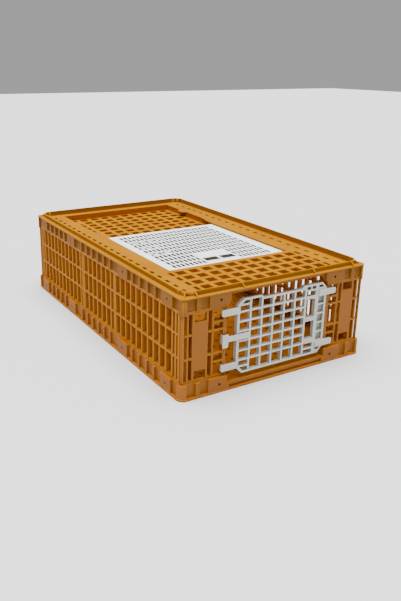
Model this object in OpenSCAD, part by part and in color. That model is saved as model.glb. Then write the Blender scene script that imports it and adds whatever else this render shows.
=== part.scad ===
// Poultry transport crate: base tray, four lattice walls, lid with a sliding
// hatch, and a hinged end door with a spring latch.
// X runs across the door end, Y along the crate, Z up. The door end is at -Y.

/* [Crate] */
// Width of the lid across the door end
crate_w = 580; // [576:1:584]
// Length of the lid from end to end
crate_l = 970; // [966:1:974]
// Height to the top of the stacking ridge
crate_h = 270; // [268:1:276]
// Radius of the upright corners
corner_r = 15; // [12:1:18]
// How far the base stands out beyond the lid, all round
base_out = 3.5; // [3:0.1:3.6]

/* [Walls] */
// Depth of the ribs in all four walls
wall_depth = 16; // [14:0.5:17]
// Width of an upright rib
rib_w = 6; // [5:0.2:7]
// Width of a level rib
bar_w = 4.6; // [4:0.2:6]
// Spacing of the uprights in the long walls
side_pitch = 30.8; // [30.6:0.1:30.9]
// Height of the lower level rib
bar_z1 = 103.5; // [101:0.5:106]
// Height of the upper level rib
bar_z2 = 164; // [161:0.5:167]

/* [Lid] */
// Spacing of the square cells
cell_pitch = 40; // [39.5:0.1:40.5]
// Side of a square cell
cell = 27; // [24:1:28]
// How far the stacking ridge stands in from the lid's edge
ridge_inset = 14; // [12:1:16]
// Depth of the pocket that the hatch slides back over
pocket_depth = 18.5; // [18:0.5:20]

/* [Floor] */
// Spacing of the floor holes
floor_pitch = 30; // [29:0.5:31]
// Side of a floor hole
floor_hole = 9; // [8:1:12]

/* [Hatch] */
// Length of the sliding hatch
hatch_l = 393; // [390:1:393]
// Half width of the sliding hatch
hatch_hw = 204.5; // [203:0.5:205]
// Width of a slot in it
slot_w = 9.2; // [8.4:0.1:9.6]
// Spacing of its slots across the crate
slot_px = 13.7; // [13.6:0.1:14]
// Spacing of its slots along the crate
slot_py = 31.8; // [31:0.1:32]

/* [End door] */
// Spacing of the door's uprights
end_px = 35; // [34.5:0.5:35]
// Spacing of the door's level bars
end_pz = 25.6; // [25.4:0.1:25.8]
// Depth of the door's bars
end_depth = 11; // [9:0.5:11]

/* [Fastenings] */
// Radius of a screw's shank
screw_r = 2; // [1.8:0.1:2.2]
// Radius of a screw's head
head_r = 3.8; // [3.6:0.1:4]
// Radius of the hinge bars
pivot_r = 4; // [3.8:0.1:4]
// Radial clearance of the hinge clips
pivot_gap = 0.1; // [0.08:0.01:0.1]

/* [Hidden] */
$fn = 48;

ochre = [0.78, 0.50, 0.17];
ochre_lid = [0.82, 0.56, 0.22];
ivory = [0.90, 0.92, 0.90];
zinc = [0.55, 0.52, 0.45];

// outlines
hx = crate_w / 2;
hy = crate_l / 2;
block_in = 1;                 // the lid's raised blocks stand this far in from its edge
recess_in = 8.5;              // face between the lid's blocks
skirt_in = 10.8;              // inner face of the lid's skirt
block_out = base_out - 1;     // the base's raised blocks stand this far out beyond the lid
band_in = 4.6;                // face between the base's blocks
skin_in = 6.5;                // inner face of the base band
wall_in = 6.8;                // outer face of the walls
rail_in = 11.2;               // outer face of the walls behind the skirt
wall_x = hx - wall_in;
wall_y = hy - wall_in;

// levels
flange_h = 5;                 // bottom flange, which stands on the ledge of a crate below
flange_in = 12.5;             // its inner edge clears the ridge of the crate below
floor_top = 16.5;
floor_t = 3;
floor_z = floor_top - floor_t;
band_top = 41;                // top of the base band
sill_hw = 152;                // half width of the sill under the end door
sill_in = 1;                  // its upper half stands this far in from the lid's edge
sill_z = 12.7;
sill_top = 20.4;
wall_open_z0 = 45.5;          // bottom of the openings in the walls
skirt_z = crate_h - 45;       // bottom of the lid's skirt
lip_z = crate_h - 14;         // underside of the lid's edge
ledge_z = crate_h - 11;       // top of the lid's edge
border_z = crate_h - 15;      // flat border inside the ridge
border_t = 3.5;
border_under = border_z - border_t;
pocket_z = border_z - pocket_depth;
pocket_t = 9;                 // depth of the bars in the pocket's floor
grid_t = 14;                  // depth of the bars in the front grid
ridge_t = 3.5;
ridge_r = 30;                 // outer radius of the ridge's corners
post_in = 3.4;                // outer face of the corner posts
corner_drop = 8;              // how far the lid's corner blocks reach below its skirt
wall_open_z = crate_h - 53;   // top of the openings in the walls

// reach of the ribs under the floor, inside the ridge of a crate below
floor_rib_x = hx - ridge_inset - ridge_t - 4;
floor_rib_y = hy - ridge_inset - ridge_t - 4;

// pocket and hatch
pocket_hw = 207;
pocket_y0 = -274;
pocket_y1 = 438;
pocket_wall = 3;
lip_hw = 196;                 // half width between the lips that hold the hatch
hatch_y0 = pocket_y0 + 2;
hatch_y1 = hatch_y0 + hatch_l;
hatch_top = border_z - 6;
hatch_t = 2;
opening_hw = 190;             // half width of the opening under the hatch
opening_y0 = -262;
opening_y1 = 104;

// doorway and hinge bars in the front wall
way_hw = 160;
post_w = 8;
bar_cut = 0.4;                // room above and below whatever holds a turned stretch of post
pivot_x = way_hw + post_w / 2;
pivot_y = -wall_y + pivot_r;
way = [[-way_hw, sill_top], [way_hw, sill_top], [way_hw, skirt_z - 3], [143, crate_h - 22],
       [-143, crate_h - 22], [-way_hw, skirt_z - 3]];

// end door
end_y0 = -hy + 3.5;           // front face of the lattice
end_x0 = -90;                 // first full upright
tab_h = 16;
tab_t = 5;
tab_z = [60.5, 204.5];
clip_t = 3.5;

// latch
latch_x = -107;
latch_y = -hy + 2.3;
latch_z = 135;
latch_h = 15.5;
latch_t = 3.1;
knuckle_r = 2.3;
pin_r = 1.1;
hook_gap = 0.3;
hook_t = 2.7;
hook_z = 134;
hook_h = 26;
hook_x1 = 172.5;
hook_past = 22;               // degrees that the hook runs on past the bar's widest point

// screws: distances from the middle of each face
end_screws = [-180, 180];
side_screws = [-415, -180, 180, 415];
lid_screw_z = crate_h - 29;
base_screw_z = 22;
head_top = 0.6;               // how far the head lies below the block's face
head_seat = 3.8;
screw_l = 19;

// ---------- helpers ----------

// rectangle with round corners, centred
module rounded(w, l, r) {
    square([w - 2 * r, l], center = true);
    square([w, l - 2 * r], center = true);
    for (x = [-1, 1], y = [-1, 1])
        translate([x * (w / 2 - r), y * (l / 2 - r)]) circle(r);
}

// the crate's outline, this far in from the outer edge
module outline(inset) {
    rounded(crate_w - 2 * inset, crate_l - 2 * inset, max(corner_r - inset, 2));
}

// upright slab in the XZ plane, from y0 towards +Y
module across(y0, t) {
    translate([0, y0 + t, 0]) rotate([90, 0, 0]) linear_extrude(t) children();
}

// upright slab in the YZ plane, from x0 towards +X
module along(x0, t) {
    translate([x0, 0, 0]) rotate([90, 0, 90]) linear_extrude(t) children();
}

// rectangle from one corner to the other
module patch(x0, y0, x1, y1) {
    translate([x0, y0]) square([x1 - x0, y1 - y0]);
}

// box from one corner to the other
module span(lo, hi) {
    translate(lo) cube(hi - lo);
}

// a column of wall openings between two uprights
module wall_column(x0, x1, levels) {
    for (i = [0 : len(levels) - 1]) patch(x0, levels[i][0], x1, levels[i][1]);
}

wall_rows = [[wall_open_z0, bar_z1 - bar_w / 2], [bar_z1 + bar_w / 2, bar_z2 - bar_w / 2],
             [bar_z2 + bar_w / 2, wall_open_z]];

// blocks and ribs that stand out of the skirt and of the band, as a mask, seen from above
module face_blocks() {
    deep = 20;
    for (m = [0, 1]) mirror([0, m]) for (n = [0, 1]) mirror([n, 0]) {
        // ends
        patch(237, -hy - deep, 248, -hy + deep);
        patch(151, -hy - deep, 212, -hy + deep);
        // long sides
        for (y = [cell_pitch / 2 : cell_pitch : 110]) patch(hx - deep, y - 4, hx + deep, y + 4);
        patch(hx - deep, 152, hx + deep, 208);
        for (y = [236 : cell_pitch : 360]) patch(hx - deep, y - 4, hx + deep, y + 4);
        patch(hx - deep, 390, hx + deep, 440);
    }
    corner_blocks();
}

module corner_blocks() {
    for (m = [0, 1]) mirror([0, m]) for (n = [0, 1]) mirror([n, 0]) {
        patch(275, -hy - 5, hx + 5, -hy + 9);
        patch(hx - 9, -hy - 5, hx + 5, -470);
    }
}

// skin with raised blocks, used by the skirt and by the base band
module banded_skin(z0, z1, proud, recess, inner) {
    translate([0, 0, z0]) linear_extrude(z1 - z0) {
        difference() {
            outline(recess);
            outline(inner);
        }
        intersection() {
            difference() {
                outline(proud);
                outline(inner);
            }
            face_blocks();
        }
    }
}

// places children at each screw of an end face (side = -1 front, 1 back), pointing inwards
module end_screw_places(side, z) {
    proud = z > bar_z1 ? block_in : -block_out;
    for (x = end_screws) translate([x, side * (hy - proud), z])
        rotate([side * 90, 0, 0]) children();
}

// places children at each screw of a long face (side = -1 left, 1 right), pointing inwards
module side_screw_places(side, z) {
    proud = z > bar_z1 ? block_in : -block_out;
    for (y = side_screws) translate([side * (hx - proud), y, z])
        rotate([0, -side * 90, 0]) children();
}

module screw_bores() {
    translate([0, 0, -1]) cylinder(h = head_seat + 1, r = head_r + 0.15);
    cylinder(h = screw_l + 1, r = screw_r + 0.05);
}

module all_screw_bores(z) {
    for (s = [-1, 1]) {
        end_screw_places(s, z) screw_bores();
        side_screw_places(s, z) screw_bores();
    }
}

// one screw, its head sunk below the block's face
module screw() {
    difference() {
        union() {
            translate([0, 0, head_top]) cylinder(h = head_seat - head_top, r = head_r);
            translate([0, 0, head_seat]) cylinder(h = screw_l - head_seat, r = screw_r);
        }
        for (a = [0, 90]) rotate([0, 0, a]) translate([-0.5, -head_r * 0.7, head_top - 0.5])
            cube([1, head_r * 1.4, 1.8]);
    }
}

// ---------- parts ----------

module base_tray() {
    color(ochre) difference() {
        union() {
            // bottom flange
            linear_extrude(flange_h) difference() {
                outline(-base_out);
                outline(flange_in);
            }
            difference() {
                banded_skin(flange_h, band_top, -block_out, band_in, skin_in);
                across(-hy - base_out, 3 * base_out)
                    patch(-way_hw + 2, sill_top, way_hw - 2, band_top + 1);
            }
            // upper half of the sill, which stands out
            span([-sill_hw, -hy + sill_in, sill_z], [sill_hw, -hy + skin_in, sill_top]);
            // floor
            translate([0, 0, floor_z]) linear_extrude(floor_t) difference() {
                outline(skin_in - 1);
                for (i = [-8 : 8], j = [-14.5 : 14.5])
                    translate([i * floor_pitch, j * floor_pitch]) square(floor_hole, center = true);
            }
            // stiffening ribs under the floor
            for (i = [-6.5, -2.5, 2.5, 6.5]) translate([i * floor_pitch, 0, 0])
                span([-1.5, -floor_rib_y, 4], [1.5, floor_rib_y, floor_z]);
            for (j = [-12, -6, 0, 6, 12]) translate([0, j * floor_pitch, 0])
                span([-floor_rib_x, -1.5, 4], [floor_rib_x, 1.5, floor_z]);
        }
        all_screw_bores(base_screw_z);
    }
}

// edge of the border around the hatch and its pocket
module hatch_edge() {
    half = [[lip_hw, pocket_y0 + 5], [lip_hw, 150], [206, 200], [206, 300], [192, 304], [192, 337],
            [206, 341], [206, pocket_y1]];
    n = len(half);
    polygon(concat(half, [for (i = [n - 1 : -1 : 0]) [-half[i][0], half[i][1]]]));
}

// the stacking ridge's outline, this far in from its outer face
module ridge_outline(inset) {
    rounded(crate_w - 2 * (ridge_inset + inset), crate_l - 2 * (ridge_inset + inset), ridge_r - inset);
}

// the pocket in plan, this far beyond its inner faces
module pocket_outline(out) {
    patch(-pocket_hw - out, pocket_y0 - out, pocket_hw + out, pocket_y1 + out);
}

// stands on the lid's edge against the ridge, running towards +X
module lid_gusset() {
    rotate([90, 0, 0]) linear_extrude(3, center = true)
        polygon([[-1, 0], [ridge_inset - 1.5, 0], [ridge_inset - 1.5, 1],
                 [0, crate_h - ledge_z - 0.5], [-1, 10]]);
}

module lid() {
    corner_x = hx - ridge_inset - ridge_r;
    color(ochre_lid) difference() {
        union() {
            difference() {
                banded_skin(skirt_z, lip_z, block_in, recess_in, skirt_in);
                across(-hy - 1, skirt_in + 3) polygon(way);
            }
            // the corner blocks reach a little lower than the skirt
            translate([0, 0, skirt_z - corner_drop]) linear_extrude(corner_drop + 1) intersection() {
                difference() {
                    outline(block_in);
                    outline(post_in - 0.3);
                }
                corner_blocks();
            }
            // edge
            translate([0, 0, lip_z]) linear_extrude(ledge_z - lip_z) difference() {
                outline(0);
                ridge_outline(1);
            }
            translate([0, 0, border_under]) linear_extrude(lip_z - border_under) difference() {
                outline(recess_in);
                ridge_outline(1);
            }
            // stacking ridge
            translate([0, 0, border_under]) linear_extrude(crate_h - border_under) difference() {
                ridge_outline(0);
                ridge_outline(ridge_t);
            }
            // flat border with its row of slots on each long side
            translate([0, 0, border_under]) linear_extrude(border_t) difference() {
                ridge_outline(0.5);
                hatch_edge();
                for (s = [-1, 1], j = [-10.5 : 10.5])
                    translate([s * 243, j * cell_pitch]) square([9, 20], center = true);
                patch(-216, -434, 216, -286);
            }
            // front grid
            translate([0, 0, border_z - grid_t]) linear_extrude(grid_t) difference() {
                patch(-222, -440, 222, -280);
                for (i = [-4.5 : 4.5], j = [7.5 : 10.5])
                    translate([i * cell_pitch, -j * cell_pitch]) square(cell, center = true);
                for (s = [-1, 1], j = [7.5 : 10.5])
                    translate([s * 208, -j * cell_pitch]) square([11, cell], center = true);
            }
            // pocket behind the hatch: floor and walls
            translate([0, 0, pocket_z - pocket_t]) linear_extrude(pocket_t) difference() {
                pocket_outline(pocket_wall);
                patch(-opening_hw, opening_y0, opening_hw, opening_y1);
                for (i = [-4.5 : 4.5], j = [3.5 : 10.5])
                    translate([i * cell_pitch, j * cell_pitch]) square(cell, center = true);
            }
            translate([0, 0, pocket_z]) linear_extrude(border_under - pocket_z) difference() {
                pocket_outline(pocket_wall);
                pocket_outline(0);
            }
            // gussets between the ridge and the edge
            for (m = [0, 1]) mirror([0, m, 0]) for (n = [0, 1]) mirror([n, 0, 0]) {
                for (x = [112, corner_x]) translate([x, -hy + ridge_inset, ledge_z])
                    rotate([0, 0, -90]) lid_gusset();
                translate([corner_x, -hy + ridge_inset + ridge_r, ledge_z])
                    rotate([0, 0, -45]) translate([ridge_r, 0, 0]) lid_gusset();
            }
        }
        all_screw_bores(lid_screw_z);
    }
}

// pockets that lighten the hidden rails of a wall, between its screws
module rail_pockets(screws, reach) {
    stops = concat([-reach], screws, [reach]);
    levels = [[floor_top + 4, band_top - 6], [wall_open_z + 6, border_under - 4]];
    for (i = [0 : len(stops) - 2], z = levels) patch(stops[i] + 10, z[0], stops[i + 1] - 10, z[1]);
}

module side_wall_face() {
    end_y = 465.5;
    difference() {
        patch(-end_y, floor_top, end_y, border_under);
        for (k = [-14 : 13])
            wall_column(k * side_pitch + rib_w / 2, (k + 1) * side_pitch - rib_w / 2, wall_rows);
        for (m = [0, 1]) mirror([m, 0, 0]) {
            wall_column(14 * side_pitch + rib_w / 2, 444, wall_rows);
            wall_column(450.4, 457.5, wall_rows);
        }
    }
}

// right wall; the left one is its mirror image
module side_wall() {
    difference() {
        union() {
            difference() {
                along(wall_x - wall_depth, wall_depth) side_wall_face();
                // the rail behind the skirt lies further in
                span([hx - rail_in, -hy, skirt_z - 0.5], [hx, hy, crate_h]);
            }
            // thin flanges that close the corners behind the end walls' posts
            for (m = [0, 1]) mirror([0, m, 0])
                span([wall_x - wall_depth, 465, floor_top], [wall_x - wall_depth + 3, 470, border_under]);
            for (m = [0, 1]) mirror([0, m, 0]) {
                // closed panels beside the fourth upright, and behind the narrow openings
                span([wall_x - 6, 105, band_top], [wall_x - 3, 4 * side_pitch, wall_open_z + 1]);
                span([wall_x - 9, 449, band_top], [wall_x - 6, 459, wall_open_z + 1]);
            }
        }
        along(wall_x - wall_depth - 1, wall_depth - 6) rail_pockets(side_screws, 455);
        side_screw_places(1, base_screw_z) screw_bores();
        side_screw_places(1, lid_screw_z) screw_bores();
    }
}

module right_wall() {
    color(ochre) side_wall();
}

module left_wall() {
    color(ochre) mirror([1, 0, 0]) side_wall();
}

// closed plaques in the end walls
plaque_x = [216.5, 250];

// openings near each corner of an end wall
module end_wall_columns() {
    for (m = [0, 1]) mirror([m, 0, 0]) {
        wall_column(270.5, 278.2, wall_rows);
        wall_column(256, 266, wall_rows);
        wall_column(200.5, 212.5, wall_rows);
        patch(plaque_x[0], 194.5, plaque_x[1], wall_open_z);
        patch(plaque_x[0], wall_open_z0, plaque_x[1], 70);
    }
}

// an end wall in plan
module end_wall_plan() {
    intersection() {
        outline(wall_in);
        patch(-hx, -hy, hx, -wall_y + wall_depth);
    }
}

// corner posts that stand flush between the base band and the skirt
module corner_posts() {
    translate([0, 0, band_top]) linear_extrude(skirt_z - band_top) intersection() {
        outline(post_in);
        for (m = [0, 1]) mirror([m, 0]) patch(281, -hy, hx, -474);
    }
}

module end_wall_body() {
    inner = -wall_y + wall_depth + 1;
    difference() {
        union() {
            translate([0, 0, floor_top]) linear_extrude(border_under - floor_top) end_wall_plan();
            corner_posts();
        }
        across(-wall_y - 1, wall_depth + 2) end_wall_columns();
        for (m = [0, 1]) mirror([m, 0, 0]) {
            // the plaques and the uprights beside them are thinner than the other ribs
            span([212, -wall_y + 8, wall_open_z0], [plaque_x[1], inner, wall_open_z]);
            // room for the long walls
            span([wall_x - wall_depth - 1.2, -wall_y + 8, floor_top - 1], [wall_x - 7.5, inner, crate_h]);
            span([wall_x - 8, -wall_y + 6, floor_top - 1], [hx, inner, crate_h]);
        }
        // the rail behind the skirt lies further in
        translate([0, 0, skirt_z - 0.5]) linear_extrude(crate_h) difference() {
            outline(0);
            outline(rail_in);
        }
        end_screw_places(-1, base_screw_z) screw_bores();
        end_screw_places(-1, lid_screw_z) screw_bores();
    }
}

// stretches of the doorposts that are turned round, as [side, height, length]
turned = [[1, tab_z[0], tab_h], [1, tab_z[1], tab_h], [-1, tab_z[0], tab_h], [-1, tab_z[1], tab_h],
          [-1, hook_z, hook_h]];

// openings beside a doorpost, with two more level bars than the others
post_rows = [[wall_open_z0, 78.5], [83.5, wall_rows[0][1]], wall_rows[1], [wall_rows[2][0], 182.5],
             [187.5, wall_open_z]];

module front_wall() {
    color(ochre) {
        difference() {
            end_wall_body();
            across(-wall_y - 1, wall_depth + 2) {
                polygon(way);
                for (m = [0, 1]) mirror([m, 0, 0])
                    wall_column(way_hw + post_w, 196, post_rows);
            }
            for (t = turned) translate([t[0] * pivot_x, pivot_y, t[1]])
                cube([post_w + 2, 40, t[2] + 2 * bar_cut], center = true);
        }
        for (t = turned) translate([t[0] * pivot_x, pivot_y, t[1]])
            cylinder(h = t[2] + 4, r = pivot_r, center = true);
    }
}

module back_wall() {
    color(ochre) rotate([0, 0, 180]) difference() {
        end_wall_body();
        across(-wall_y - 1, wall_depth + 2)
            for (i = [-6.5 : 5.5]) wall_column(i * 30.2 + rib_w / 2, (i + 1) * 30.2 - rib_w / 2, wall_rows);
        across(-wall_y + 6, wall_depth) rail_pockets(end_screws, 262);
    }
}

// two finger cups
cup_y = -213.5;
cup_w = 46.5;
cup_l = 28;
cup_gap = 8;
cup_t = 1.2;
cup_depth = 8.6;

module cup_places() {
    for (s = [-1, 1]) translate([s * (cup_w + cup_gap) / 2, cup_y, 0]) children();
}

module top_door() {
    slot_y0 = hatch_y0 + 43.5;
    slot_l = 25.6;
    under = hatch_top - hatch_t;
    color(ivory) difference() {
        union() {
            translate([0, 0, under]) linear_extrude(hatch_t) difference() {
                patch(-hatch_hw, hatch_y0, hatch_hw, hatch_y1);
                // slots, apart from the plain plate round the cups
                for (i = [-11.5 : 11.5], j = [0 : 10]) if (j > 2 || abs(i) > 4)
                    translate([i * slot_px, slot_y0 + j * slot_py])
                        square([slot_w, slot_l], center = true);
            }
            // skirts that run on the pocket's floor
            for (m = [0, 1]) mirror([m, 0, 0])
                span([198, hatch_y0, pocket_z + 0.5], [201, hatch_y1, under + 1]);
            // stiffening skirts at the two ends and across the middle
            for (y = [hatch_y0, hatch_y1 - 3]) span([-201, y, pocket_z + 2.5], [201, y + 3, under + 1]);
            for (j = [2.5, 5.5, 7.5]) translate([0, slot_y0 + j * slot_py, 0])
                span([-198, -1.2, pocket_z + 3.5], [198, 1.2, under + 1]);
            cup_places() span([-cup_w / 2 - cup_t, -cup_l / 2 - cup_t, hatch_top - cup_depth - cup_t],
                              [cup_w / 2 + cup_t, cup_l / 2 + cup_t, under + 1]);
        }
        cup_places()
            span([-cup_w / 2, -cup_l / 2, hatch_top - cup_depth], [cup_w / 2, cup_l / 2, hatch_top + 1]);
    }
}

// outline of the end door's lattice
end_face = [[-111, 34], [138, 34], [155, 52], [155, 216], [141, 231], [80, 231], [72, 224.5],
            [-50, 224.5], [-58, 231], [-111, 231], [-129, 215], [-129, 52]];
end_levels = [for (j = [0 : 5]) 70 + j * end_pz];

module end_door_cells() {
    hb = 1.8;
    v = 2;
    // square cells
    for (i = [-1 : 4], j = [0 : 4]) patch(end_x0 + i * end_px + v, end_levels[j] + hb,
                                          end_x0 + (i + 1) * end_px - v, end_levels[j + 1] - hb);
    // top and bottom rows
    for (i = [0 : 4]) {
        x0 = end_x0 + i * end_px + v;
        x1 = x0 + end_px - 2 * v;
        patch(x0, end_levels[5] + hb, x1, (i == 0) ? 226.5 : 220);
        patch(x0, 38.5, x1, end_levels[0] - hb);
    }
    // corner cells of the first column
    patch(-124.5, end_levels[5] + hb, -92.5, 213.5);
    polygon([[-118, 217.5], [-92.5, 217.5], [-92.5, 226.5], [-108, 226.5]]);
    patch(-124.5, 55, -92.5, end_levels[0] - hb);
    polygon([[-118, 50.5], [-92.5, 50.5], [-92.5, 38.5], [-108, 38.5]]);
    // two tall slots with small cells above and below
    patch(88, 217.5, 102, 226.5);
    patch(105, 217.5, 119, 226.5);
    patch(88, 200, 119, 213.5);
    patch(88, 141, 119, 192);
    patch(88, 80.5, 119, 131);
    patch(88, 55, 119, 68);
    patch(88, 38.5, 119, 50.5);
    // ladder column
    for (j = [0 : 4]) patch(128, end_levels[j] + hb, 149, end_levels[j + 1] - hb);
    polygon([[128, 218.5], [147, 218.5], [140, 226.5], [128, 226.5]]);
    polygon([[128, 44], [140, 44], [147, 50.5], [128, 50.5]]);
}

// tab from the lattice to past a post, with rounded corners at its far end
module end_tab(x0, x1, z) {
    r = 4;
    side = x1 > x0 ? 1 : -1;
    across(-hy, tab_t) translate([0, z]) {
        patch(min(x0, x1 - side * r), -tab_h / 2, max(x0, x1 - side * r), tab_h / 2);
        patch(min(x0, x1), -tab_h / 2 + r, max(x0, x1), tab_h / 2 - r);
        for (t = [-1, 1]) translate([x1 - side * r, t * (tab_h / 2 - r)]) circle(r);
    }
}

module end_door() {
    color(ivory) difference() {
        union() {
            across(end_y0, end_depth) difference() {
                polygon(end_face);
                end_door_cells();
            }
            for (z = tab_z) {
                end_tab(128, 184, z);
                end_tab(-124.5, -176, z);
                // hinge clip on the right, open saddle on the left
                translate([pivot_x, pivot_y, z]) cylinder(h = tab_h, r = pivot_r + clip_t, center = true);
                for (s = [-1, 1]) translate([s * pivot_x, (pivot_y - hy) / 2 - 0.5, z])
                    cube([2 * pivot_r + 5, pivot_y + hy - 1, tab_h], center = true);
            }
            // closed back of the ladder column
            span([127, end_y0 + end_depth - 2, end_levels[0]], [150, end_y0 + end_depth, end_levels[5]]);
            // bosses that hold the latch's pin
            for (s = [-1, 1]) translate([latch_x, 0, latch_z + s * 12.8]) {
                translate([0, latch_y, 0]) cylinder(h = 4.4, r = knuckle_r, center = true);
                span([-knuckle_r, latch_y, -2.2], [knuckle_r, end_y0 + 3, 2.2]);
            }
        }
        for (z = tab_z) {
            for (s = [-1, 1]) translate([s * pivot_x, pivot_y, z])
                cylinder(h = tab_h + 1, r = pivot_r + (s > 0 ? pivot_gap : hook_gap), center = true);
            // the clip is open towards the inside of the crate
            translate([pivot_x, pivot_y + 8, z]) cube([6, 10, tab_h + 1], center = true);
        }
        translate([latch_x, latch_y, latch_z]) cylinder(h = 26.4, r = pin_r, center = true);
    }
}

module latch_pin() {
    color(zinc) translate([latch_x, latch_y, latch_z]) cylinder(h = 26.4, r = pin_r, center = true);
}

// hook in plan, round the left doorpost's turned stretch
module hook_plan() {
    r0 = pivot_r + hook_gap;
    r1 = r0 + hook_t;
    reach = 20;
    difference() {
        union() {
            translate([-pivot_x, pivot_y]) circle(r1);
            patch(-pivot_x - r1, -hy, -pivot_x + 6, pivot_y);
        }
        translate([-pivot_x, pivot_y]) circle(r0);
        // open on the doorway's side and at the back
        patch(-pivot_x - 2, -hy + latch_t, 0, pivot_y + reach);
        translate([-pivot_x, pivot_y]) rotate([0, 0, 180 - hook_past]) patch(0, -reach, reach, 0);
        translate([-pivot_x, pivot_y]) rotate([0, 0, -hook_past]) patch(-reach, 0, reach, reach);
    }
}

module end_door_latch() {
    z0 = latch_z - latch_h / 2;
    color(ivory) difference() {
        union() {
            across(-hy, latch_t) {
                // arm, and the plate that covers the pin
                patch(-160, z0 + 1, -94, z0 + latch_h - 1);
                patch(-133, z0, -94, z0 + latch_h);
                // head, which reaches down as a finger pad
                patch(-hook_x1, 114.5, -157, 147.5);
            }
            translate([0, 0, hook_z - hook_h / 2 + 1]) linear_extrude(hook_h - 2) hook_plan();
            translate([latch_x, latch_y, latch_z]) cylinder(h = latch_h, r = knuckle_r, center = true);
        }
        translate([latch_x, latch_y, latch_z]) cylinder(h = latch_h + 1, r = pin_r + 0.08, center = true);
    }
}

module front_lid_screws() {
    color(zinc) end_screw_places(-1, lid_screw_z) screw();
}

module front_base_screws() {
    color(zinc) end_screw_places(-1, base_screw_z) screw();
}

module back_lid_screws() {
    color(zinc) end_screw_places(1, lid_screw_z) screw();
}

module back_base_screws() {
    color(zinc) end_screw_places(1, base_screw_z) screw();
}

module left_lid_screws() {
    color(zinc) side_screw_places(-1, lid_screw_z) screw();
}

module left_base_screws() {
    color(zinc) side_screw_places(-1, base_screw_z) screw();
}

module right_lid_screws() {
    color(zinc) side_screw_places(1, lid_screw_z) screw();
}

module right_base_screws() {
    color(zinc) side_screw_places(1, base_screw_z) screw();
}

base_tray();
lid();
left_wall();
right_wall();
front_wall();
back_wall();
top_door();
end_door();
end_door_latch();
latch_pin();
front_lid_screws();
front_base_screws();
back_lid_screws();
back_base_screws();
left_lid_screws();
left_base_screws();
right_lid_screws();
right_base_screws();
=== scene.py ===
"""Poultry transport crate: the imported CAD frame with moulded-plastic looks, in a plain pale studio."""

import math

import bpy
from mathutils import Matrix, Vector


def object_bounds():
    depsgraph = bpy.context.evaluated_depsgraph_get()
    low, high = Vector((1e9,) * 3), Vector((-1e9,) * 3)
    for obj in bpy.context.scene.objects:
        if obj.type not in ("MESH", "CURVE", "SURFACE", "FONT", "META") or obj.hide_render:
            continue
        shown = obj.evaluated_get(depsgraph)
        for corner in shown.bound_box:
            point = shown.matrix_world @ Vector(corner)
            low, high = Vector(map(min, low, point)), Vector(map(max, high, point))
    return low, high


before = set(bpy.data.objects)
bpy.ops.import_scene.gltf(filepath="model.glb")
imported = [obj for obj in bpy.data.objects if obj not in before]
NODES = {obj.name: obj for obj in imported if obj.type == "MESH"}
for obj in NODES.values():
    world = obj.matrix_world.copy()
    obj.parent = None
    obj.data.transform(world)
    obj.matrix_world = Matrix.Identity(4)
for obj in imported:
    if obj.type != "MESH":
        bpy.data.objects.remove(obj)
CAD_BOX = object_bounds()
HALF_WIDTH, HALF_LENGTH, TOP = CAD_BOX[1]

MM = 0.001

# ---------- camera ----------

AZIMUTH = -30.117           # degrees
ELEVATION = 17.797
ROLL = 0.443
CAMERA_AT = (-1.0142, -1.6561, 0.7734)
SENSOR_MM = 36.0            # along the frame's long side
LENS_MM = 39.007
SHIFT_X = 0.05907           # parts of the frame's long side
SHIFT_Y = -0.05075
CLIP_END = 50.0


def add_camera():
    az, el, roll = (math.radians(a) for a in (AZIMUTH, ELEVATION, ROLL))
    back = Vector((math.sin(az) * math.cos(el), -math.cos(az) * math.cos(el), math.sin(el)))
    right = Vector((math.cos(az), math.sin(az), 0.0))
    up = back.cross(right)
    right_rolled = math.cos(roll) * right + math.sin(roll) * up
    up_rolled = -math.sin(roll) * right + math.cos(roll) * up
    turn = Matrix((right_rolled, up_rolled, back)).transposed()
    data = bpy.data.cameras.new("camera")
    data.sensor_width = SENSOR_MM
    data.lens = LENS_MM
    data.shift_x = SHIFT_X
    data.shift_y = SHIFT_Y
    data.clip_end = CLIP_END
    camera = bpy.data.objects.new("camera", data)
    camera.matrix_world = Matrix.Translation(Vector(CAMERA_AT)) @ turn.to_4x4()
    bpy.context.scene.collection.objects.link(camera)
    bpy.context.scene.camera = camera


# ---------- studio ----------

FLOOR_HALF = 14.0
FLOOR_GREY = 0.62
FLOOR_ROUGHNESS = 0.9
FLOOR_SPECULAR = 0.1
WORLD_STRENGTH = 0.4

SKY_POWER = 10.0
SKY_SPREAD = 60             # degrees
SKY_TOWARDS = Vector((0.08, 0.0, -1.0))

KEY_POWER = 16
KEY_SIZE = 1.8
KEY_AT = Vector((-1.8, -3.2, 1.7))
KEY_AIM = Vector((0, 0, 0.12))
KEY_COLOUR = (1.0, 0.97, 0.92)


def add_floor():
    mesh = bpy.data.meshes.new("studio_floor")
    signs = ((-1, -1), (1, -1), (1, 1), (-1, 1))
    corners = [(x * FLOOR_HALF, y * FLOOR_HALF, 0) for x, y in signs]
    mesh.from_pydata(corners, [], [(0, 1, 2, 3)])
    floor = bpy.data.objects.new("studio_floor", mesh)
    bpy.context.scene.collection.objects.link(floor)
    material = bpy.data.materials.new("studio_floor")
    material.use_nodes = True
    shader = material.node_tree.nodes["Principled BSDF"]
    shader.inputs["Base Color"].default_value = (FLOOR_GREY, FLOOR_GREY, FLOOR_GREY, 1)
    shader.inputs["Roughness"].default_value = FLOOR_ROUGHNESS
    shader.inputs["Specular IOR Level"].default_value = FLOOR_SPECULAR
    mesh.materials.append(material)


def add_world():
    world = bpy.data.worlds.new("studio")
    world.use_nodes = True
    background = world.node_tree.nodes["Background"]
    background.inputs["Color"].default_value = (1, 1, 1, 1)
    background.inputs["Strength"].default_value = WORLD_STRENGTH
    bpy.context.scene.world = world


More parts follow.
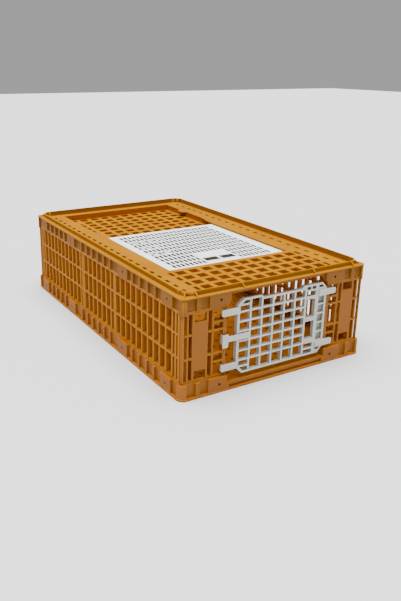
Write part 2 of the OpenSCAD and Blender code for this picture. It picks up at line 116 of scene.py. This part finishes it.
def add_lamp(name, kind, place, towards, **settings):
    data = bpy.data.lights.new(name, kind)
    for key, value in settings.items():
        setattr(data, key, value)
    lamp = bpy.data.objects.new(name, data)
    turn = towards.to_track_quat("-Z", "Y").to_matrix().to_4x4()
    lamp.matrix_world = Matrix.Translation(place) @ turn
    bpy.context.scene.collection.objects.link(lamp)


def add_lamps():
    """A broad, even light from overhead, and a warmer one from the front left."""
    add_lamp("sky", "SUN", Vector((0, 0, 0)), SKY_TOWARDS,
             energy=SKY_POWER, angle=math.radians(SKY_SPREAD))
    add_lamp("key", "AREA", KEY_AT, KEY_AIM - KEY_AT,
             shape="DISK", size=KEY_SIZE, energy=KEY_POWER, color=KEY_COLOUR)


# ---------- node helpers ----------

def node(tree, kind, **inputs):
    made = tree.nodes.new(kind)
    for key, value in inputs.items():
        made.inputs[key].default_value = value
    return made


def ramp(tree, value, low, high, out_low=0.0, out_high=1.0):
    """Spreads value from low..high to out_low..out_high, clamped."""
    made = node(tree, "ShaderNodeMapRange",
                **{"From Min": low, "From Max": high, "To Min": out_low, "To Max": out_high})
    tree.links.new(value, made.inputs["Value"])
    return made.outputs["Result"]


def noise(tree, place, pattern):
    """A noise pattern, given as its scale, detail and roughness."""
    scale, detail, roughness = pattern
    made = node(tree, "ShaderNodeTexNoise", Scale=scale, Detail=detail, Roughness=roughness)
    tree.links.new(place, made.inputs["Vector"])
    return made.outputs["Fac"]


def blend(tree, factor, first, second):
    """Mixes two colours, each a tuple or a socket."""
    made = node(tree, "ShaderNodeMix")
    made.data_type = "RGBA"
    tree.links.new(factor, made.inputs["Factor"])
    for socket, colour in ((made.inputs["A"], first), (made.inputs["B"], second)):
        if isinstance(colour, tuple):
            socket.default_value = (*colour, 1)
        else:
            tree.links.new(colour, socket)
    return made.outputs["Result"]


def combine(tree, operation, first, second):
    """The result of a math operation on two values, each a number or a socket."""
    made = node(tree, "ShaderNodeMath")
    made.operation = operation
    for socket, value in zip(made.inputs, (first, second)):
        if isinstance(value, float):
            socket.default_value = value
        else:
            tree.links.new(value, socket)
    return made.outputs["Value"]


def times(tree, first, *others):
    """The product of masks and numbers."""
    for other in others:
        first = combine(tree, "MULTIPLY", first, other)
    return first


def dot(tree, first, second):
    """The dot product of a socket with a tuple or a socket: 1 where the directions agree."""
    made = node(tree, "ShaderNodeVectorMath")
    made.operation = "DOT_PRODUCT"
    tree.links.new(first, made.inputs[0])
    if isinstance(second, tuple):
        made.inputs[1].default_value = second
    else:
        tree.links.new(second, made.inputs[1])
    return made.outputs["Value"]


def extents(tree, place):
    """X and Y: how far place is from the crate's middle planes. Z: its height."""
    positive = node(tree, "ShaderNodeVectorMath")
    positive.operation = "ABSOLUTE"
    tree.links.new(place, positive.inputs[0])
    apart = node(tree, "ShaderNodeSeparateXYZ")
    tree.links.new(positive.outputs["Vector"], apart.inputs[0])
    return apart.outputs


def bump(tree, height, strength, depth):
    made = node(tree, "ShaderNodeBump", Strength=strength, Distance=depth)
    tree.links.new(height, made.inputs["Height"])
    return made


# ---------- materials ----------

OUTER_X = HALF_WIDTH - 19 * MM      # side faces further out than this are outer ones
OUTER_Y = HALF_LENGTH - 18.5 * MM   # end faces further out than this are outer ones
OUTER_RAMP = 2 * MM
LIP_Z = TOP - 11.5 * MM             # the lid's edge, below the stacking ridge
LIP_RAMP = 0.5 * MM
HATCH_DEEP_Z = TOP - 21.3 * MM      # the hatch's slots and cups are shaded below this
HATCH_RAMP = 0.5 * MM

# noise patterns: about how many waves go in a metre, detail and roughness
CLOUDS = (9.0, 4.0, 0.55)
PATCHES = (22.0, 5.0, 0.65)
SINKS = (28.0, 2.0, 0.4)
SCUFFS = (45.0, 4.0, 0.7)
MOTTLES = (70.0, 3.0, 0.6)
GLOSSES = (120.0, 4.0, 0.65)
TARNISHES = (600.0, 4.0, 0.6)
GRAINS = (800.0, 3.0, 0.6)

# the values between which a pattern or a mask goes from nothing to all
CLOUD_RANGE = (0.35, 0.65)
PATCH_RANGE = (0.35, 0.65)
SCUFF_RANGE = (0.35, 0.6)
MOTTLE_RANGE = (0.45, 0.8)
GLOSS_RANGE = (0.3, 0.7)
TARNISH_RANGE = (0.4, 0.6)
TURNED_RANGE = (0.75, 0.25)         # cosine between a face's normal and the plastic's facing
SHELTER_RANGE = (0.8, 0.25)         # share of a point's surroundings that is open
EDGE_RANGE = (0.99, 0.85)           # cosine between the rounded and the flat normal

MOTTLE_MOST = 0.35
PATCH_LEAST = 0.7
SCUFF_LEAST = 0.35

SHELTER_REACH = 20 * MM
SHELTER_SAMPLES = 6
EDGE_SAMPLES = 4

GRAIN_STRENGTH = 0.35
GRAIN_DEPTH = 0.2 * MM
SINK_STRENGTH = 0.5
SINK_DEPTH = 1.2 * MM

GLOSSIER = 0.08                     # how far roughness goes below its mean
DULLER = 0.1                        # and above it

METAL_ROUGHNESS = (0.35, 0.6)       # clean, tarnished
METALLIC = 0.9


def plastic(name, colour, deep, side_shading, inner_shade, shade, abraded_glint_colour, roughness=0.42, specular=0.4,
            shaded=0.6, abrasion_glint_amount=0.5, ridge_shade=None, edge=1.4 * MM, facing=(0, 0, 1), shade_below=None):
    """Moulded plastic, cloudy between colour and deep, with grain and sink marks.

    Faces turned away from facing take painted side shading where they are outer, and a
    painted inner shade with red bounce elsewhere; above the lip they take a painted ridge
    shade, where one is given. Sheltered places take the painted shade colour, and so does all
    below shade_below. Edges lighten: partly rubbed wear, partly a painted highlight.
    """
    material = bpy.data.materials.new(name)
    material.use_nodes = True
    tree = material.node_tree
    link = tree.links.new
    shader = tree.nodes["Principled BSDF"]
    coords = node(tree, "ShaderNodeTexCoord")
    place = coords.outputs["Object"]
    extent = extents(tree, place)

    cloud = ramp(tree, noise(tree, place, CLOUDS), *CLOUD_RANGE)
    mottle = ramp(tree, noise(tree, place, MOTTLES), *MOTTLE_RANGE, 0.0, MOTTLE_MOST)
    base = blend(tree, cloud, deep, colour)
    base = blend(tree, mottle, base, deep)

    # faces turned away: painted shade, and on the side walls a little painted light, by which way they
    # face
    turned = ramp(tree, dot(tree, coords.outputs["Normal"], facing), *TURNED_RANGE)
    outer_x = ramp(tree, extent["X"], OUTER_X, OUTER_X + OUTER_RAMP)
    outer_y = ramp(tree, extent["Y"], OUTER_Y, OUTER_Y + OUTER_RAMP)
    outer = combine(tree, "MAXIMUM", outer_x, outer_y)
    within = ramp(tree, outer, 1.0, 0.0)
    # painted shade with red bounce light on upright faces inside the crate's outer faces
    base = blend(tree, times(tree, turned, within), base, inner_shade)
    under_lip = ramp(tree, extent["Z"], LIP_Z + LIP_RAMP, LIP_Z - LIP_RAMP)
    patches = ramp(tree, noise(tree, place, PATCHES), *PATCH_RANGE, PATCH_LEAST, 1.0)
    # painted shade on outward upright faces below the lip, set per material by how the light falls on
    # them, in random patches
    base = blend(tree, times(tree, turned, outer, under_lip, patches), base, side_shading)
    if ridge_shade:
        # painted shade on the outer face of the lid's stacking ridge, above the lip
        over_lip = ramp(tree, extent["Z"], LIP_Z - LIP_RAMP, LIP_Z + LIP_RAMP)
        base = blend(tree, times(tree, turned, over_lip), base, ridge_shade)

    # painted shade: sheltered places, such as recesses, corners and creases, darken towards the shade
    # colour
    shelter = node(tree, "ShaderNodeAmbientOcclusion", Distance=SHELTER_REACH)
    shelter.samples = SHELTER_SAMPLES
    sheltered = ramp(tree, shelter.outputs["AO"], *SHELTER_RANGE, 0.0, shaded)
    base = blend(tree, sheltered, base, shade)
    # painted shade on all below shade_below: the hatch's slot walls and finger cups
    if shade_below:
        low = ramp(tree, extent["Z"], shade_below, shade_below - HATCH_RAMP)
        base = blend(tree, low, base, shade)

    # edges, where the rounded normal leaves the flat one, lighten: partly rubbed wear, partly a painted
    # highlight
    rounded = node(tree, "ShaderNodeBevel", Radius=edge)
    rounded.samples = EDGE_SAMPLES
    flat = node(tree, "ShaderNodeNewGeometry").outputs["Normal"]
    abraded_glint_mask = ramp(tree, dot(tree, rounded.outputs["Normal"], flat), *EDGE_RANGE)
    scuffs = ramp(tree, noise(tree, place, SCUFFS), *SCUFF_RANGE, SCUFF_LEAST, 1.0)
    base = blend(tree, times(tree, abraded_glint_mask, scuffs, abrasion_glint_amount), base, abraded_glint_colour)
    link(base, shader.inputs["Base Color"])

    grain = bump(tree, noise(tree, place, GRAINS), GRAIN_STRENGTH, GRAIN_DEPTH)
    sink = bump(tree, noise(tree, place, SINKS), SINK_STRENGTH, SINK_DEPTH)
    link(grain.outputs["Normal"], sink.inputs["Normal"])
    link(sink.outputs["Normal"], shader.inputs["Normal"])

    gloss = ramp(tree, noise(tree, place, GLOSSES), *GLOSS_RANGE,
                 roughness - GLOSSIER, roughness + DULLER)
    link(gloss, shader.inputs["Roughness"])
    shader.inputs["Specular IOR Level"].default_value = specular
    return material


def metal(name, colour, spots):
    """Dull dark metal with darker tarnish."""
    material = bpy.data.materials.new(name)
    material.use_nodes = True
    tree = material.node_tree
    shader = tree.nodes["Principled BSDF"]
    place = node(tree, "ShaderNodeTexCoord").outputs["Object"]
    tarnish = ramp(tree, noise(tree, place, TARNISHES), *TARNISH_RANGE)
    tree.links.new(blend(tree, tarnish, colour, spots), shader.inputs["Base Color"])
    roughness = ramp(tree, tarnish, 0.0, 1.0, *METAL_ROUGHNESS)
    tree.links.new(roughness, shader.inputs["Roughness"])
    shader.inputs["Metallic"].default_value = METALLIC
    return material


def base_plastic():
    # painted shade: the colour is redder than the walls' for the shade and red bounce on the tray floor,
    # and the side colour darkens the outer band
    return plastic("base_plastic",
                   colour=(0.330, 0.100, 0.004), deep=(0.275, 0.078, 0.002),
                   side_shading=(0.235, 0.088, 0.018), inner_shade=(0.33, 0.085, 0.004),
                   shade=(0.26, 0.068, 0.002), abraded_glint_colour=(0.60, 0.28, 0.015),
                   specular=0.08, roughness=0.5, abrasion_glint_amount=0.8)


def wall_plastic(name, side_shading):
    # one wall plastic in lit and shaded copies: only the painted side shading differs, darker on the
    # front and back walls than on the side walls
    return plastic(name, side_shading=side_shading,
                   colour=(0.300, 0.112, 0.003), deep=(0.255, 0.088, 0.002),
                   inner_shade=(0.34, 0.080, 0.003), shade=(0.28, 0.066, 0.001),
                   abraded_glint_colour=(0.60, 0.28, 0.015),
                   specular=0.08, roughness=0.5, abrasion_glint_amount=0.85)


def lid_plastic():
    # painted shade: darker skirt faces, a darker outer face on the stacking ridge, and redder shaded
    # walls inside the grid cells
    return plastic("lid_plastic",
                   colour=(0.300, 0.120, 0.000), deep=(0.262, 0.100, 0.000),
                   side_shading=(0.190, 0.076, 0.020), inner_shade=(0.33, 0.086, 0.000),
                   shade=(0.24, 0.068, 0.000), abraded_glint_colour=(0.56, 0.28, 0.004),
                   specular=0.05, roughness=0.55, abrasion_glint_amount=0.7, ridge_shade=(0.22, 0.088, 0.0))


def hatch_plastic():
    # painted shade: grey on its upright outer edges, near black on the slot walls and in the finger cups
    return plastic("hatch_plastic",
                   colour=(0.82, 0.88, 0.88), deep=(0.76, 0.82, 0.82),
                   side_shading=(0.5, 0.5, 0.48), inner_shade=(0.09, 0.085, 0.07),
                   shade=(0.12, 0.10, 0.08), abraded_glint_colour=(0.84, 0.87, 0.87),
                   shaded=0.9, abrasion_glint_amount=0.15, shade_below=HATCH_DEEP_Z)


def door_plastic():
    # painted shade and highlight: the white door is coloured grey with darker bar sides, and its edges
    # go back to near white as a painted highlight
    return plastic("door_plastic",
                   colour=(0.46, 0.48, 0.43), deep=(0.38, 0.40, 0.36),
                   side_shading=(0.27, 0.28, 0.245), inner_shade=(0.27, 0.28, 0.245),
                   shade=(0.16, 0.15, 0.12), abraded_glint_colour=(0.98, 0.95, 0.87),
                   abrasion_glint_amount=1.0, edge=2.1 * MM, facing=(0, -1, 0))


def screw_metal():
    return metal("screw_metal", (0.030, 0.026, 0.022), (0.012, 0.010, 0.008))


# ---------- finish of each node ----------

SHELL_EDGE = 0.6 * MM
HATCH_EDGE = 0.4 * MM
DOOR_EDGE = 0.5 * MM
WELD_REACH = 0.01 * MM
ROUNDED_ANGLE = 35          # degrees between two faces, above which their edge is rounded


def round_edges(obj, width):
    weld = obj.modifiers.new("weld", "WELD")
    weld.merge_threshold = WELD_REACH
    bevel = obj.modifiers.new("edges", "BEVEL")
    bevel.width = width
    bevel.segments = 2
    bevel.limit_method = "ANGLE"
    bevel.angle_limit = math.radians(ROUNDED_ANGLE)
    bevel.harden_normals = True
    bevel.use_clamp_overlap = True


def dress(names, material, edge=0.0):
    """Gives CAD nodes a material and, where edge is set, rounded edges that wide."""
    for name in names:
        obj = NODES[name]
        obj.data.materials.clear()
        obj.data.materials.append(material)
        if edge:
            round_edges(obj, edge)


add_camera()
add_floor()
add_world()
add_lamps()

dress(["lid"], lid_plastic(), SHELL_EDGE)
dress(["base_tray"], base_plastic(), SHELL_EDGE)
dress(["front_wall", "back_wall"], wall_plastic("front_shaded_plastic", (0.240, 0.090, 0.018)), SHELL_EDGE)
dress(["left_wall", "right_wall"], wall_plastic("wall_plastic", (0.320, 0.114, 0.004)), SHELL_EDGE)
dress(["top_door"], hatch_plastic(), HATCH_EDGE)
dress(["end_door", "end_door_latch"], door_plastic(), DOOR_EDGE)
dress([name for name in NODES if name.endswith("screws")] + ["latch_pin"], screw_metal())
